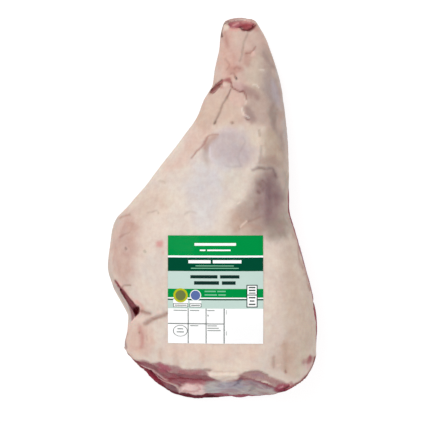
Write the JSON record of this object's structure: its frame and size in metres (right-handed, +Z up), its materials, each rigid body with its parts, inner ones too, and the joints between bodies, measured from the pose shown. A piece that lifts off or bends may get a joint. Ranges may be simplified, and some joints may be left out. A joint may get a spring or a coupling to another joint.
{
  "type": "raw leg of lamb",
  "caption": "Raw whole leg of lamb, bone in, lying fat side up with a sawn shank, a cut chump end and a plain printed price label on top.",
  "frame": {"origin": "on the surface the leg lies on, under the middle of its bounding box", "axes": "+Y along the leg towards the shank, +Z up out of the fat side, +X to the right seen from above with the shank pointing away"},
  "size_m": [0.207, 0.382, 0.0816],
  "materials": {
    "lamb": "moist fat and skin, satin, with lean showing at the cuts",
    "label": "satin printed paper"
  },
  "bodies": {
    "root": {"leg": "lamb", "label": "label"}
  },
  "joints": []
}
